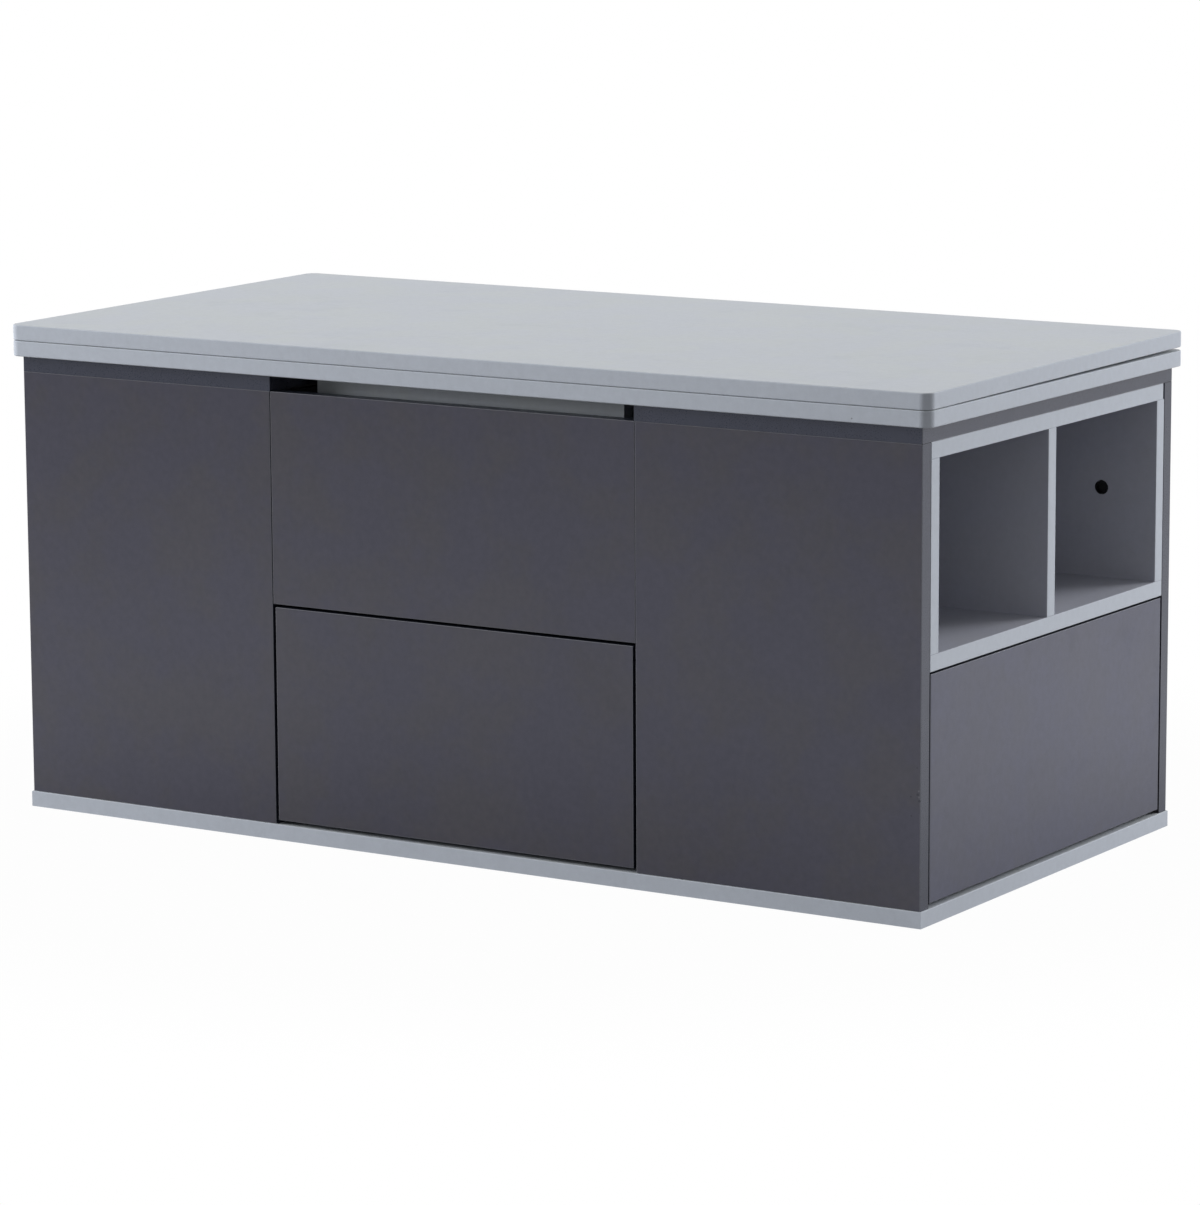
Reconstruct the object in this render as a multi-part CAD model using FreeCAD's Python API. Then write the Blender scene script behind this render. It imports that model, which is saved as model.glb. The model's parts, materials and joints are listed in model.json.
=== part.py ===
import FreeCAD, Part
import math
import os

os.makedirs("parts", exist_ok=True)
Vec = FreeCAD.Vector

# A coffee table whose top lifts forward on parallel arms and folds open to twice its depth.
# Millimetres. X runs along the length, +Y to the back, Z up from the floor. The origin lies
# on the floor under the middle of the table's outline.

# Top: two equal leaves, hinged together along the back edge
table_length = 1000.0
table_depth = 495.0
leaf_thickness = 15.0
leaf_corner_radius = 10.0
leaf_edge_round = 1.2
leaf_gap_back = 3.0
leaf_gap_front = 0.3

# Body under the top, and the base board that it stands on
end_overhang = 10.5
front_overhang = 7.25
back_overhang = 4.0
base_thickness = 15.0
base_end_reveal = 1.5
base_side_reveal = 1.0
panel_thickness = 15.0
panel_height = 410.0
back_thickness = 15.0
board_edge_round = 0.9

# Boards that close the top of the body at each end; the finger slot is the gap between them
end_top_thickness = 15.0
end_top_lap = 1.25

# Middle bay: storage well above, front drawer below
well_width = 400.0
partition_thickness = 15.0
front_panel_lap = 0.5
centre_panel_height = 200.0
centre_panel_left_gap = 0.8
centre_panel_right_gap = 0.3
well_floor_thickness = 15.0

# Open shelf at each end, a frame of five boards over the end drawer
shelf_board = 15.0
shelf_height = 201.0
shelf_front_gap = 1.0
shelf_back_gap = 0.8
ceiling_back_gap = 3.0
shelf_edge_round = 0.6

# Screws that hold the shelf frame to the front and back panels, sunk in round pockets
pocket_radius = 6.6
pocket_depth = 7.0
pocket_inset = 56.5
screw_radius = 2.0
screw_head_radius = 4.2
screw_head_height = 3.0
screw_bite = 8.0
screw_clearance = 0.05

# Cam locks let into the inner faces, above the base board
cam_radius = 7.5
cam_depth = 10.0
cam_rise = 34.0
cam_end_inset = 60.0
cam_slot_width = 2.0
cam_slot_depth = 2.5
cam_clearance = 0.1

# Drawers: an inset front, a box of thinner boards and a thin bottom in a groove
drawer_front_thickness = 15.0
end_drawer_side_gap = 2.5
end_drawer_top_gap = 1.8
front_drawer_side_gap = 3.1
front_drawer_top_gap = 2.8
drawer_bottom_gap = 4.0
box_board = 12.0
box_rise = 13.0
box_top_space = 42.0
bottom_thickness = 4.0
bottom_rise = 10.0
groove_depth = 6.0
groove_clearance = 0.2
front_box_back_space = 60.0
end_box_back_space = 25.0

# Drawer slides: a channel on the body, a smaller one on the box, a push-to-open cassette behind
slide_space = 13.0
slide_height = 35.0
slide_metal = 1.2
slide_lip = 9.0
slide_running_gap = 0.4
slide_height_share = 0.4
slide_front_gap = 1.0
cassette_length = 30.0
press_travel = 3.0
press_clearance = 0.3

# Lift mechanism at each end of the storage well: two equal parallel arms
arm_half_width = 12.0
arm_boss_radius = 14.0
arm_thickness = 3.0
front_pivot_inset = 18.0
front_pivot_drop = 14.0
rear_pivot_run = 135.0
arm_spacing = 4.0
lift_back_gap = 4.75
plate_thickness = 3.0
plate_margin = 12.0
plate_corner_radius = 8.0
plate_screw_radius = 2.5
pivot_radius = 4.0
pivot_head_radius = 7.0
pivot_head_height = 2.0
pivot_collar = 1.5
running_clearance = 0.05
rail_thickness = 3.0
rail_depth = 15.0
rail_flange = 21.0
rail_front_gap = 38.0
cross_tube_radius = 9.0
cross_tube_wall = 1.5
cross_tube_past_rear = 7.0

# Tension spring of each front arm, from a stud on its short lever to a stud on the plate
lever_length = 45.0
lever_end_radius = 9.0
spring_anchor_past_rear = 55.0
spring_anchor_drop = 52.0
stud_radius = 3.0
stud_groove_depth = 0.6
spring_radius = 6.0
spring_wire_radius = 1.25
spring_hook_length = 16.0
spring_inset = 12.5
stud_past_spring = 4.0

# Grip rail under the lower leaf, reached through the finger slot
grip_end_gap = 2.0
grip_thickness = 15.0
grip_height = 45.0
grip_setback = 33.0
grip_edge_round = 2.5

# Leaf hinges, let into the back edges; each barrel lies just behind the edge
hinge_length = 60.0
hinge_end_inset = 120.0
hinge_plate_thickness = 1.5
hinge_edge_margin = 1.8
hinge_barrel_radius = 2.75
hinge_pin_radius = 1.3
hinge_pin_end = 0.4
hinge_reach = 0.5
hinge_knuckles = 5
hinge_knuckle_gap = 0.2
hinge_barrel_gap = 0.7
hinge_clearance = 0.5
hinge_screw_radius = 1.7

# One overrun for every cut, and the tolerance for finding edges
overrun = 5.0
tiny = 0.001

# Places worked out from the sizes above
hinge_projection = hinge_reach + hinge_barrel_radius
leaf_front = -table_depth / 2 - hinge_projection / 2
leaf_back = leaf_front + table_depth
leaf_end = table_length / 2
body_end = leaf_end - end_overhang
body_front = leaf_front + front_overhang
body_back = leaf_back - back_overhang
inner_front = body_front + panel_thickness
inner_back = body_back - back_thickness
inner_middle = (inner_front + inner_back) / 2
base_top = base_thickness
panel_top = base_top + panel_height
body_top = panel_top + end_top_thickness
lower_leaf_top = body_top + leaf_thickness
well_half = well_width / 2
partition_outer = well_half + partition_thickness
opening_half = well_half - front_panel_lap
well_floor_low = panel_top - centre_panel_height
well_floor_top = well_floor_low + well_floor_thickness
shelf_low = panel_top - shelf_height
shelf_front = inner_front + shelf_front_gap
shelf_back = inner_back - shelf_back_gap
shelf_middle = (shelf_front + shelf_back) / 2
box_low = base_top + drawer_bottom_gap + box_rise
box_top = shelf_low - box_top_space
slide_middle = box_low + slide_height_share * (box_top - box_low)
hinge_axis_y = leaf_back + hinge_reach
hinge_axis_z = lower_leaf_top + leaf_gap_back / 2
closed_tilt = math.degrees(math.asin((leaf_gap_back - leaf_gap_front) / table_depth))


def block(x, y, z):
    """Box between two values on each axis."""
    return Part.makeBox(x[1] - x[0], y[1] - y[0], z[1] - z[0], Vec(x[0], y[0], z[0]))


def rod(radius, start, end, axis, first=0.0, second=0.0):
    """Cylinder from start to end along an axis, at the two other coordinates."""
    places = {
        "X": (Vec(start, first, second), Vec(1, 0, 0)),
        "Y": (Vec(first, start, second), Vec(0, 1, 0)),
        "Z": (Vec(first, second, start), Vec(0, 0, 1)),
    }
    place, direction = places[axis]
    if end < start:
        direction = direction * -1
    return Part.makeCylinder(radius, abs(end - start), place, direction)


def edges_at(shape, axis, value):
    """Edges whose ends both lie at one value of the axis."""
    return [
        edge
        for edge in shape.Edges
        if all(abs(getattr(vertex.Point, axis) - value) < tiny for vertex in edge.Vertexes)
    ]


def rounded_at(shape, radius, axis, *values):
    """Shape with the rim of the face at each value of the axis rounded."""
    rim = [edge for value in values for edge in edges_at(shape, axis, value)]
    return shape.makeFillet(radius, rim)


def fused(shapes):
    """One solid from shapes that meet."""
    return shapes[0].fuse(shapes[1:]).removeSplitter()


def mirrored(shape):
    """The same piece at the other end of the table."""
    return shape.mirror(Vec(0, 0, 0), Vec(1, 0, 0))


def link_plate(first, first_radius, second, second_radius, x):
    """Plate round two places (y, z): two arcs joined by their outer tangents."""
    run = second[0] - first[0]
    rise = second[1] - first[1]
    heading = math.atan2(rise, run)
    spread = math.acos((first_radius - second_radius) / math.hypot(run, rise))

    def point(centre, radius, angle):
        return Vec(x[0], centre[0] + radius * math.cos(angle), centre[1] + radius * math.sin(angle))

    a = point(first, first_radius, heading + spread)
    b = point(first, first_radius, heading + math.pi)
    c = point(first, first_radius, heading - spread)
    d = point(second, second_radius, heading - spread)
    e = point(second, second_radius, heading)
    f = point(second, second_radius, heading + spread)
    outline = [
        Part.Arc(a, b, c).toShape(),
        Part.LineSegment(c, d).toShape(),
        Part.Arc(d, e, f).toShape(),
        Part.LineSegment(f, a).toShape(),
    ]
    return Part.Face(Part.Wire(outline)).extrude(Vec(x[1] - x[0], 0, 0))


def outline_plate(points, x):
    """Flat plate from corner places (y, z)."""
    corners = [Vec(x[0], y, z) for y, z in points]
    return Part.Face(Part.makePolygon(corners + corners[:1])).extrude(Vec(x[1] - x[0], 0, 0))


def base_board():
    low = block(
        (-body_end - base_end_reveal, body_end + base_end_reveal),
        (body_front - base_side_reveal, body_back + base_side_reveal),
        (0, base_top),
    )
    return rounded_at(low, board_edge_round, "z", base_top)


def cam_places():
    """Centre and inward direction of each cam lock, in the inner faces of the body."""
    height = base_top + cam_rise
    along = (partition_outer + cam_end_inset, body_end - cam_end_inset)
    places = []
    for x in along:
        for side in (-1, 1):
            places.append((Vec(side * x, inner_front, height), Vec(0, 1, 0)))
            places.append((Vec(side * x, inner_back, height), Vec(0, -1, 0)))
    for y in (inner_front + cam_end_inset, inner_back - cam_end_inset):
        for side in (-1, 1):
            places.append((Vec(side * well_half, y, height), Vec(-side, 0, 0)))
    return places


def without_cams(board):
    """Board with the cam holes that open in it."""
    radius = cam_radius + cam_clearance
    for place, inward in cam_places():
        start = place - inward * cam_depth
        board = board.cut(Part.makeCylinder(radius, cam_depth + overrun, start, inward))
    return board


def cam_locks():
    """Discs flush with the inner faces, each with a slot for the driver."""
    discs = []
    for place, inward in cam_places():
        disc = Part.makeCylinder(cam_radius, cam_depth, place - inward * cam_depth, inward)
        slot = Part.makeBox(2 * cam_radius, cam_slot_width, cam_slot_depth + overrun)
        slot.translate(Vec(-cam_radius, -cam_slot_width / 2, -cam_slot_depth))
        turn = FreeCAD.Rotation(Vec(0, 0, 1), inward)
        slot.Placement = FreeCAD.Placement(place, turn).multiply(slot.Placement)
        discs.append(disc.cut(slot))
    return Part.makeCompound(discs)


def pocket_places():
    """Places (x, z) of the screws in the right shelf frame's sides."""
    height = (shelf_low + panel_top) / 2
    return [(partition_outer + pocket_inset, height), (body_end - pocket_inset, height)]


def pilot_cuts():
    """Screw holes for the right shelf, from its pockets to the ends of the screws."""
    cuts = []
    for x, z in pocket_places():
        for face, wall, outward in pocket_lines():
            radius = screw_radius + screw_clearance
            cuts.append(rod(radius, face, wall + outward * screw_bite, "Y", x, z))
    return cuts


def pocket_lines():
    """Compartment face, panel face and outward direction of each shelf side."""
    return [
        (shelf_front + shelf_board, inner_front, -1),
        (shelf_back - shelf_board, inner_back, 1),
    ]


def drilled(board):
    """Board with the screw holes of the right shelf frame."""
    for cut in pilot_cuts():
        board = board.cut(cut)
    return board


def shelf_screws():
    """Screws of both shelf frames, their heads at the bottom of the pockets."""
    screws = []
    for x, z in pocket_places():
        for face, wall, outward in pocket_lines():
            seat = face + outward * pocket_depth
            head = rod(screw_head_radius, seat - outward * screw_head_height, seat, "Y", x, z)
            shank = rod(screw_radius, seat, wall + outward * screw_bite, "Y", x, z)
            screw = fused([head, shank])
            screws += [screw, mirrored(screw)]
    return Part.makeCompound(screws)


def front_panel_right():
    panel = block((opening_half, body_end), (body_front, inner_front), (base_top, panel_top))
    return drilled(rounded_at(panel, board_edge_round, "y", body_front))


def front_panel_centre():
    panel = block(
        (-opening_half + centre_panel_left_gap, opening_half - centre_panel_right_gap),
        (body_front, inner_front),
        (well_floor_low, panel_top),
    )
    return rounded_at(panel, board_edge_round, "y", body_front)


def back_panel():
    panel = block((-body_end, body_end), (inner_back, body_back), (base_top, panel_top))
    return drilled(mirrored(drilled(rounded_at(panel, board_edge_round, "y", body_back))))


def partition_right():
    return block((well_half, partition_outer), (inner_front, inner_back), (base_top, panel_top))


def end_top_right():
    board = block(
        (well_half - end_top_lap, body_end),
        (body_front, body_back),
        (panel_top, body_top),
    )
    return rounded_at(board, board_edge_round, "x", body_end)


def well_floor():
    return block(
        (-well_half, well_half), (inner_front, inner_back), (well_floor_low, well_floor_top)
    )


def shelf_boards():
    """The five boards of the right shelf frame, by name; their end edges are rounded."""
    length = (partition_outer, body_end)
    inside = (shelf_low + shelf_board, panel_top - shelf_board)
    boards = {
        "ceiling": block(
            length, (shelf_front, inner_back - ceiling_back_gap), (inside[1], panel_top)
        ),
        "floor": block(length, (shelf_front, shelf_back), (shelf_low, inside[0])),
        "front_side": block(length, (shelf_front, shelf_front + shelf_board), inside),
        "divider": block(
            length, (shelf_middle - shelf_board / 2, shelf_middle + shelf_board / 2), inside
        ),
        "back_side": block(length, (shelf_back - shelf_board, shelf_back), inside),
    }
    for name, board in boards.items():
        board = rounded_at(board, shelf_edge_round, "x", body_end)
        if name in ("front_side", "back_side"):
            board = pocketed(board)
        boards[name] = board
    return boards


def pocketed(board):
    """Shelf side with its screw pockets and the holes through them."""
    for x, z in pocket_places():
        for face, wall, outward in pocket_lines():
            mouth = face - outward * overrun
            board = board.cut(rod(pocket_radius, mouth, face + outward * pocket_depth, "Y", x, z))
    return drilled(board)


def slide_channel(wall_x, inward, metal, height, lip, y):
    """Channel section along Y: a web against wall_x and two lips that point inward."""
    half = height / 2
    section = [
        (0, -half),
        (lip, -half),
        (lip, -half + metal),
        (metal, -half + metal),
        (metal, half - metal),
        (lip, half - metal),
        (lip, half),
        (0, half),
    ]
    corners = [Vec(wall_x + inward * run, y[0], slide_middle + rise) for run, rise in section]
    return Part.Face(Part.makePolygon(corners + corners[:1])).extrude(Vec(0, y[1] - y[0], 0))


def drawer(bay_width, side_gap, top_z, box_length):
    """Pieces of a drawer that faces -Y, its front's outer face on y = 0."""
    front_half = bay_width / 2 - side_gap
    front_low = base_top + drawer_bottom_gap
    box_half = bay_width / 2 - slide_space
    inner_half = box_half - box_board
    box_y = (drawer_front_thickness, drawer_front_thickness + box_length)
    box_z = (box_low, box_top)
    bottom_low = box_low + bottom_rise
    bottom_z = (bottom_low, bottom_low + bottom_thickness)
    groove_z = (bottom_z[0] - groove_clearance, bottom_z[1] + groove_clearance)
    reach = inner_half + groove_depth
    groove = block(
        (-reach, reach), (drawer_front_thickness - groove_depth, box_y[1] + overrun), groove_z
    )
    front = block((-front_half, front_half), (0, drawer_front_thickness), (front_low, top_z))
    front = rounded_at(front, board_edge_round, "y", 0)
    side = block((inner_half, box_half), box_y, box_z).cut(groove)
    back = block(
        (-inner_half, inner_half), (box_y[1] - box_board, box_y[1]), (groove_z[1], box_top)
    )
    bottom_reach = reach - groove_clearance
    bottom = block(
        (-bottom_reach, bottom_reach),
        (drawer_front_thickness - groove_depth + groove_clearance, box_y[1]),
        bottom_z,
    )
    return {
        "front": front.cut(groove),
        "side_left": mirrored(side),
        "side_right": side,
        "back": back,
        "bottom": bottom,
    }


def drawer_slides(bay_width, wall_length):
    """Body channels with their cassettes, and box channels, of a drawer that faces -Y."""
    start = drawer_front_thickness + slide_front_gap
    end = drawer_front_thickness + wall_length - slide_front_gap
    wall = bay_width / 2
    body_y = (start + press_travel, end)
    body_channel = slide_channel(wall, -1, slide_metal, slide_height, slide_lip, body_y)
    inner_height = slide_height - 2 * slide_metal
    cassette = block(
        (wall - slide_lip, wall - slide_metal),
        (end - cassette_length, end),
        (slide_middle - inner_height / 2, slide_middle + inner_height / 2),
    )
    box_channel = slide_channel(
        wall - slide_space,
        1,
        slide_metal,
        inner_height - 2 * slide_running_gap,
        slide_space - slide_metal - slide_running_gap,
        (start, end - cassette_length - press_travel - press_clearance),
    )
    body_side = fused([body_channel, cassette])
    return [body_side, mirrored(body_side)], [box_channel, mirrored(box_channel)]


def lift_places():
    """Pivots and spring studs of the lift, as (y, z), with the arms level."""
    front = (inner_front + front_pivot_inset, panel_top - front_pivot_drop)
    rear = (front[0] + rear_pivot_run, front[1] - 2 * arm_half_width - arm_spacing)
    arm_length = inner_back - lift_back_gap - arm_boss_radius - rear[0]
    return {
        "front": front,
        "rear": rear,
        "front_top": (front[0] + arm_length, front[1]),
        "rear_top": (rear[0] + arm_length, rear[1]),
        "lever": (front[0], front[1] - lever_length),
        "anchor": (rear[0] + spring_anchor_past_rear, front[1] - spring_anchor_drop),
        "tube": (rear[0] + cross_tube_past_rear, front[1]),
    }


lift = lift_places()
plate_x = (well_half - plate_thickness, well_half)
arm_x = (plate_x[0] - pivot_collar - arm_thickness, plate_x[0] - pivot_collar)
rail_x = (arm_x[0] - pivot_collar - rail_thickness, arm_x[0] - pivot_collar)
spring_x = arm_x[0] - spring_inset


def bore(place, radius):
    """Cut for a hole along X through all the lift's layers."""
    return rod(radius, rail_x[0] - overrun, plate_x[1] + overrun, "X", *place)


def stud(place, start):
    """Stud from start inward to past the spring, grooved where the spring's hook lies."""
    end = spring_x - stud_past_spring
    shaft = rod(stud_radius, end, start, "X", *place)
    half = spring_wire_radius + stud_groove_depth
    groove = rod(stud_radius + overrun, spring_x - half, spring_x + half, "X", *place)
    core = rod(stud_radius - stud_groove_depth, spring_x - half, spring_x + half, "X", *place)
    return shaft.cut(groove.cut(core))


def lift_plate():
    """Right plate, screwed to the partition: it carries both lower pivots and the anchor."""
    left = lift["front"][0] - plate_margin
    right = lift["anchor"][0] + plate_margin
    top = lift["front"][1] + plate_margin
    low = lift["anchor"][1] - plate_margin
    shoulder = lift["rear"][0] + arm_boss_radius
    plate = outline_plate(
        [
            (left, low),
            (right, low),
            (right, lift["anchor"][1] + plate_margin),
            (shoulder, top),
            (left, top),
        ],
        plate_x,
    )
    corners = [
        edge for edge in plate.Edges if abs(edge.Vertexes[0].Point.x - edge.Vertexes[-1].Point.x) > tiny
    ]
    plate = plate.makeFillet(plate_corner_radius, corners)
    for place in ("front", "rear"):
        plate = plate.cut(bore(lift[place], pivot_radius + running_clearance))
    screw_row = low + plate_margin
    screws = [(lift["front"][0], screw_row), (lift["rear"][0], screw_row)]
    screws.append(((lift["front"][0] + lift["rear"][0]) / 2, top - plate_margin))
    for place in screws:
        plate = plate.cut(bore(place, plate_screw_radius))
    return fused([plate, stud(lift["anchor"], plate_x[0])])


def lift_arm(low, high):
    """Flat arm between two pivots, with a round boss at each."""
    bar = link_plate(lift[low], arm_half_width, lift[high], arm_half_width, arm_x)
    bosses = [rod(arm_boss_radius, *arm_x, "X", *lift[place]) for place in (low, high)]
    return fused([bar] + bosses)


def with_pivot_bores(arm, low, high):
    for place in (low, high):
        arm = arm.cut(bore(lift[place], pivot_radius + running_clearance))
    return arm


def lift_front_arm():
    """Right front arm, with the short lever below its pivot and the lever's stud."""
    lever = link_plate(lift["front"], arm_boss_radius, lift["lever"], lever_end_radius, arm_x)
    arm = fused([lift_arm("front", "front_top"), lever, stud(lift["lever"], arm_x[0])])
    return with_pivot_bores(arm, "front", "front_top")


def lift_rear_arm():
    return with_pivot_bores(lift_arm("rear", "rear_top"), "rear", "rear_top")


def lift_top_rail():
    """Right angle rail under the lower leaf; its web drops to the two upper pivots."""
    front, rear = lift["front_top"], lift["rear_top"]
    y = (lift["front"][0] + rail_front_gap, rear[0] + arm_boss_radius)
    strip = block(rail_x, y, (body_top - rail_depth, body_top))
    web = outline_plate(
        [
            (front[0] - 2 * rail_depth, body_top - rail_depth / 2),
            (front[0] - arm_boss_radius, front[1]),
            front,
            rear,
            (rear[0] + arm_boss_radius, rear[1]),
            (rear[0] + arm_boss_radius, body_top - rail_depth / 2),
        ],
        rail_x,
    )
    chin = link_plate(front, arm_boss_radius, rear, arm_boss_radius, rail_x)
    flange = block((rail_x[1] - rail_flange, rail_x[1]), y, (body_top - rail_thickness, body_top))
    rail = fused([strip, web, chin, flange])
    for place in ("front_top", "rear_top"):
        rail = rail.cut(bore(lift[place], pivot_radius + running_clearance))
    middle = (rail_x[0] + rail_x[1] - rail_flange) / 2
    for place in (y[0] + plate_margin, (y[0] + y[1]) / 2, y[1] - plate_margin):
        rail = rail.cut(
            rod(plate_screw_radius, body_top - rail_depth, body_top + overrun, "Z", middle, place)
        )
    return rail


def lower_pivots():
    """Right rivets through plate and arm, with a collar between and a head inside."""
    pins = []
    for place in ("front", "rear"):
        pins.append(
            fused(
                [
                    rod(pivot_radius, arm_x[0], plate_x[1], "X", *lift[place]),
                    rod(pivot_head_radius, arm_x[1], plate_x[0], "X", *lift[place]),
                    rod(pivot_head_radius, arm_x[0] - pivot_head_height, arm_x[0], "X", *lift[place]),
                ]
            )
        )
    return pins


def upper_pivots():
    """Right rivets through rail and arm, with a collar between and a head on each side."""
    pins = []
    for place in ("front_top", "rear_top"):
        pins.append(
            fused(
                [
                    rod(pivot_radius, rail_x[0], arm_x[1], "X", *lift[place]),
                    rod(pivot_head_radius, rail_x[1], arm_x[0], "X", *lift[place]),
                    rod(pivot_head_radius, arm_x[1], arm_x[1] + pivot_head_height, "X", *lift[place]),
                    rod(pivot_head_radius, rail_x[0] - pivot_head_height, rail_x[0], "X", *lift[place]),
                ]
            )
        )
    return pins


def cross_tube():
    """Tube welded between the two front arms."""
    outer = rod(cross_tube_radius, -arm_x[0], arm_x[0], "X", *lift["tube"])
    inner = rod(cross_tube_radius - cross_tube_wall, -arm_x[0], arm_x[0], "X", *lift["tube"])
    return outer.cut(inner)


def lift_spring():
    """Right tension spring: a closed coil between two hooks, each round a stud."""
    a = Vec(spring_x, *lift["lever"])
    b = Vec(spring_x, *lift["anchor"])
    along = (b - a).normalize()
    ring_radius = stud_radius - stud_groove_depth + spring_wire_radius + running_clearance
    rings = [Part.makeTorus(ring_radius, spring_wire_radius, end, Vec(1, 0, 0)) for end in (a, b)]
    wire_length = (b - a).Length - 2 * ring_radius
    wire = Part.makeCylinder(spring_wire_radius, wire_length, a + along * ring_radius, along)
    coil_length = (b - a).Length - 2 * spring_hook_length
    coil = Part.makeCylinder(spring_radius, coil_length, a + along * spring_hook_length, along)
    return fused(rings + [wire, coil])


def grip_rail():
    front = body_front + grip_setback
    low = body_top - grip_height
    half = rail_x[1] - rail_flange - grip_end_gap
    rail = block((-half, half), (front, front + grip_thickness), (low, body_top))
    return rounded_at(rail, grip_edge_round, "z", low)


def hinge_middles():
    end = leaf_end - hinge_end_inset
    return (-end, 0, end)


def leaf_before_folding():
    """Lower leaf with its hinge pockets; the upper leaf is its mirror image."""
    leaf = block((-leaf_end, leaf_end), (leaf_front, leaf_back), (body_top, lower_leaf_top))
    corners = [
        edge for edge in leaf.Edges if abs(edge.Vertexes[0].Point.z - edge.Vertexes[-1].Point.z) > tiny
    ]
    leaf = leaf.makeFillet(leaf_corner_radius, corners)
    leaf = rounded_at(leaf, leaf_edge_round, "z", body_top, lower_leaf_top)
    half = hinge_length / 2 + hinge_clearance
    for middle in hinge_middles():
        x = (middle - half, middle + half)
        pocket = block(
            x,
            (leaf_back - hinge_plate_thickness, leaf_back + overrun),
            (body_top + hinge_edge_margin, lower_leaf_top + overrun),
        )
        notch = rod(hinge_barrel_radius + hinge_clearance, *x, "X", hinge_axis_y, hinge_axis_z)
        leaf = leaf.cut(pocket).cut(notch)
    return leaf


def hinge_part(middle, first_knuckle):
    """Plate in the lower leaf's edge with every second knuckle of the barrel."""
    left = middle - hinge_length / 2
    pitch = hinge_length / hinge_knuckles
    y = (leaf_back - hinge_plate_thickness, leaf_back)
    plate_top = hinge_axis_z - hinge_barrel_radius - hinge_barrel_gap
    plate_low = body_top + hinge_edge_margin
    pieces = [block((left, left + hinge_length), y, (plate_low, plate_top))]
    for knuckle in range(first_knuckle, hinge_knuckles, 2):
        start = left + knuckle * pitch + hinge_knuckle_gap / 2
        end = start + pitch - hinge_knuckle_gap
        pieces.append(block((start, end), y, (plate_top, hinge_axis_z)))
        pieces.append(rod(hinge_barrel_radius, start, end, "X", hinge_axis_y, hinge_axis_z))
    part = fused(pieces)
    bore_radius = hinge_pin_radius + running_clearance
    x = (left - overrun, left + hinge_length + overrun)
    part = part.cut(rod(bore_radius, *x, "X", hinge_axis_y, hinge_axis_z))
    screw_z = (plate_low + plate_top) / 2
    for place in (left + pitch, middle, left + hinge_length - pitch):
        hole = rod(hinge_screw_radius, y[0] - overrun, y[1] + overrun, "Y", place, screw_z)
        part = part.cut(hole)
    return part


def hinge_pin(middle):
    half = hinge_length / 2 + hinge_pin_end
    return rod(hinge_pin_radius, middle - half, middle + half, "X", hinge_axis_y, hinge_axis_z)


def folded_over(shape):
    """Mirror image above the hinge axis, tipped until the front edges nearly meet."""
    axis_point = Vec(0, hinge_axis_y, hinge_axis_z)
    upper = shape.mirror(axis_point, Vec(0, 0, 1))
    upper.rotate(axis_point, Vec(1, 0, 0), closed_tilt)
    return upper


def placed(shape, x, y, turn):
    """Drawer piece turned about Z and moved to its bay."""
    moved = shape.copy()
    moved.rotate(Vec(0, 0, 0), Vec(0, 0, 1), turn)
    moved.translate(Vec(x, y, 0))
    return moved


nodes = {
    "base_board": without_cams(base_board()),
    "front_panel_centre": front_panel_centre(),
    "back_panel": without_cams(back_panel()),
    "well_floor": well_floor(),
    "cam_locks": cam_locks(),
    "shelf_screws": shelf_screws(),
}

# Pieces that both ends of the body have
for name, shape in {
    "front_panel": without_cams(front_panel_right()),
    "partition": without_cams(partition_right()),
    "end_top": end_top_right(),
}.items():
    nodes[name + "_right"] = shape
    nodes[name + "_left"] = mirrored(shape)
for name, shape in shelf_boards().items():
    nodes["right_shelf_" + name] = shape
    nodes["left_shelf_" + name] = mirrored(shape)

# Drawers: width of the bay, gap beside the front, top of the front, space behind the box,
# depth behind the front, and where the bay is
end_bay = inner_back - inner_front
end_depth = body_end - partition_outer - drawer_front_thickness
end_top_z = shelf_low - end_drawer_top_gap
front_depth = inner_back - body_front - drawer_front_thickness
front_top_z = well_floor_low - front_drawer_top_gap
front_side_gap = front_panel_lap + front_drawer_side_gap
end_sizes = (end_bay, end_drawer_side_gap, end_top_z, end_box_back_space, end_depth)
front_sizes = (well_width, front_side_gap, front_top_z, front_box_back_space, front_depth)
drawers = {
    "front_drawer": (front_sizes, (0, body_front, 0)),
    "right_drawer": (end_sizes, (body_end, inner_middle, 90)),
    "left_drawer": (end_sizes, (-body_end, inner_middle, -90)),
}
body_slides = []
for name, ((bay, gap, top, back_space, depth), place) in drawers.items():
    for piece, shape in drawer(bay, gap, top, depth - back_space).items():
        nodes[name + "_" + piece] = placed(shape, *place)
    on_body, on_box = drawer_slides(bay, depth)
    body_slides += [placed(shape, *place) for shape in on_body]
    nodes[name + "_slides"] = Part.makeCompound([placed(shape, *place) for shape in on_box])
nodes["body_slides"] = Part.makeCompound(body_slides)

# Lift mechanism
for name, shape in {
    "lift_plate": lift_plate(),
    "lift_front_arm": lift_front_arm(),
    "lift_rear_arm": lift_rear_arm(),
    "lift_top_rail": lift_top_rail(),
    "lift_spring": lift_spring(),
}.items():
    nodes[name + "_right"] = shape
    nodes[name + "_left"] = mirrored(shape)
nodes["lift_cross_tube"] = cross_tube()
for name, pins in {"lift_lower_pivots": lower_pivots(), "lift_upper_pivots": upper_pivots()}.items():
    nodes[name] = Part.makeCompound(pins + [mirrored(pin) for pin in pins])

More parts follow.
